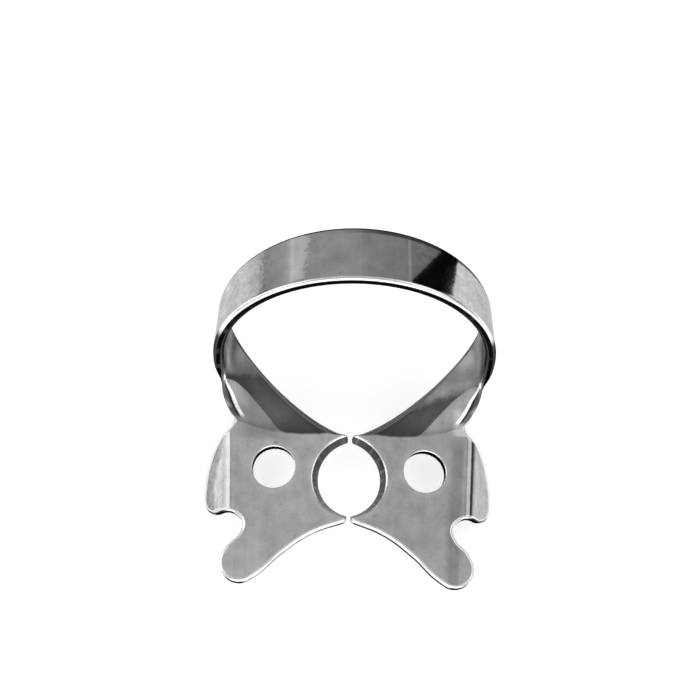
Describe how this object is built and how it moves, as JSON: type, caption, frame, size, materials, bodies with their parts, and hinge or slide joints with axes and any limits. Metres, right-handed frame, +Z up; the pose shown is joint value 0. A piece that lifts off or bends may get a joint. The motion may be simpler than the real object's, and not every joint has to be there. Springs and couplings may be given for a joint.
{
  "type": "rubber dam clamp",
  "caption": "Winged rubber dam clamp: two flat steel jaws with a tooth notch and forceps holes, joined at the back by a sprung arched bow.",
  "frame": {"origin": "on the middle plane, midway between the two forceps holes, at the middle of the sheet's thickness where the two jaws would meet", "axes": "+X across the jaws, +Y from the jaws to the bow, +Z up, the side the bow stands on"},
  "size_m": [0.0214, 0.0235, 0.0159],
  "materials": {
    "spring_steel": "tumbled satin"
  },
  "bodies": {
    "root": {"rubber_dam_clamp": "spring_steel"}
  },
  "joints": []
}
